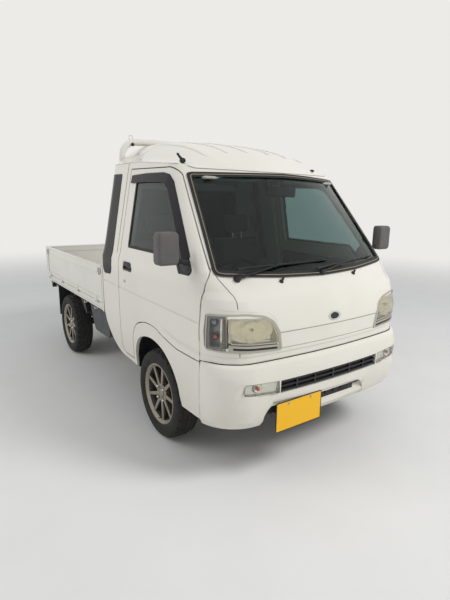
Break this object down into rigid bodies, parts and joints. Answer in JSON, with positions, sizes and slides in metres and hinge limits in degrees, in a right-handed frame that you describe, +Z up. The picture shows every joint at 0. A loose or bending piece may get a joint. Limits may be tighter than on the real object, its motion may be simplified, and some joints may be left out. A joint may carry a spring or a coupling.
{
  "type": "kei truck",
  "caption": "Small cab-over pickup truck with a raised roof, opening doors, dropside bed with hinged gates, steering front wheels and rolling wheels.",
  "frame": {"origin": "on the ground under the middle of the overall length and width", "axes": "+Z up, -Y towards the front, +X towards the truck's left side"},
  "size_m": [1.84, 3.395, 1.9179],
  "materials": {
    "paint": "gloss",
    "bed_paint": "satin",
    "glass": "clear",
    "lamp": "clear",
    "lamp_red": "gloss",
    "black_plastic": "matte",
    "grey_plastic": "textured",
    "alloy": "satin",
    "tyre": "matte",
    "frame_black": "satin",
    "iron": "rough",
    "steel": "dull",
    "seat_cloth": "woven",
    "plate_paint": "satin",
    "rubber": "matte"
  },
  "bodies": {
    "body": {"cab_shell": "paint", "roof_panel": "paint", "windscreen": "glass", "rear_windows": "glass", "front_panel": "paint", "corner_panels": "paint", "headlamps": "lamp", "front_bumper": "paint", "turn_lamps": "lamp", "front_grille": "black_plastic", "front_plate": "plate_paint", "wipers": "black_plastic", "dashboard": "black_plastic", "seats": "seat_cloth", "chassis_frame": "frame_black", "engine_block": "iron", "front_suspension": "frame_black", "rear_axle": "frame_black", "bed_deck": "bed_paint", "guard_frame": "bed_paint", "fuel_tank": "frame_black", "rear_mudguards": "rubber", "tail_lamps": "lamp_red", "exhaust": "steel", "spare_wheel": "tyre"},
    "door_left": {"door_left": "paint", "door_glass_left": "glass", "door_mirror_left": "grey_plastic"},
    "side_gate_left": {"side_gate_left": "bed_paint"},
    "knuckle_left": {"knuckle_left": "iron"},
    "wheel_front_left": {"rim_front_left": "alloy", "tyre_front_left": "tyre"},
    "wheel_rear_left": {"rim_rear_left": "alloy", "tyre_rear_left": "tyre"},
    "door_right": {"door_right": "paint", "door_glass_right": "glass", "door_mirror_right": "grey_plastic"},
    "side_gate_right": {"side_gate_right": "bed_paint"},
    "knuckle_right": {"knuckle_right": "iron"},
    "wheel_front_right": {"rim_front_right": "alloy", "tyre_front_right": "tyre"},
    "wheel_rear_right": {"rim_rear_right": "alloy", "tyre_rear_right": "tyre"},
    "tailgate": {"tailgate": "bed_paint"},
    "steering_wheel": {"steering_wheel": "black_plastic"}
  },
  "joints": [
    {"name": "door_hinge_left", "type": "hinge", "parent": "body", "child": "door_left", "pos_m": [0.731, -1.445, 0.85], "axis": [0, 0, -1], "range_deg": [0, 65]},
    {"name": "gate_hinge_left", "type": "hinge", "parent": "body", "child": "side_gate_left", "pos_m": [0.726, 0.83, 0.6733], "axis": [0, 1, 0], "range_deg": [0, 170]},
    {"name": "door_hinge_right", "type": "hinge", "parent": "body", "child": "door_right", "pos_m": [-0.731, -1.445, 0.85], "axis": [0, 0, 1], "range_deg": [0, 65]},
    {"name": "gate_hinge_right", "type": "hinge", "parent": "body", "child": "side_gate_right", "pos_m": [-0.726, 0.83, 0.6733], "axis": [0, -1, 0], "range_deg": [0, 170]},
    {"name": "tailgate_hinge", "type": "hinge", "parent": "body", "child": "tailgate", "pos_m": [0, 1.6925, 0.6733], "axis": [-1, 0, 0], "range_deg": [0, 170]},
    {"name": "steer_left", "type": "hinge", "parent": "body", "child": "knuckle_left", "pos_m": [0.61, -0.94, 0.19], "axis": [-0.2478, 0, 0.9688], "range_deg": [-33, 33]},
    {"name": "wheel_spin_front_left", "type": "hinge", "parent": "knuckle_left", "child": "wheel_front_left", "pos_m": [0.65, -0.94, 0.277], "axis": [1, 0, 0], "continuous": true},
    {"name": "wheel_spin_rear_left", "type": "hinge", "parent": "body", "child": "wheel_rear_left", "pos_m": [0.65, 0.96, 0.277], "axis": [1, 0, 0], "continuous": true},
    {"name": "steer_right", "type": "hinge", "parent": "body", "child": "knuckle_right", "pos_m": [-0.61, -0.94, 0.19], "axis": [0.2478, 0, 0.9688], "range_deg": [-33, 33]},
    {"name": "wheel_spin_front_right", "type": "hinge", "parent": "knuckle_right", "child": "wheel_front_right", "pos_m": [-0.65, -0.94, 0.277], "axis": [1, 0, 0], "continuous": true},
    {"name": "wheel_spin_rear_right", "type": "hinge", "parent": "body", "child": "wheel_rear_right", "pos_m": [-0.65, 0.96, 0.277], "axis": [1, 0, 0], "continuous": true},
    {"name": "steering_wheel_turn", "type": "hinge", "parent": "body", "child": "steering_wheel", "pos_m": [-0.35, -1.11, 1.015], "axis": [0, 0.5736, 0.8192], "range_deg": [-528, 528]}
  ],
  "couplings": [
    {"joint": "steer_left", "follows": "steer_right", "ratio": 1},
    {"joint": "steering_wheel_turn", "follows": "steer_right", "ratio": 16}
  ]
}
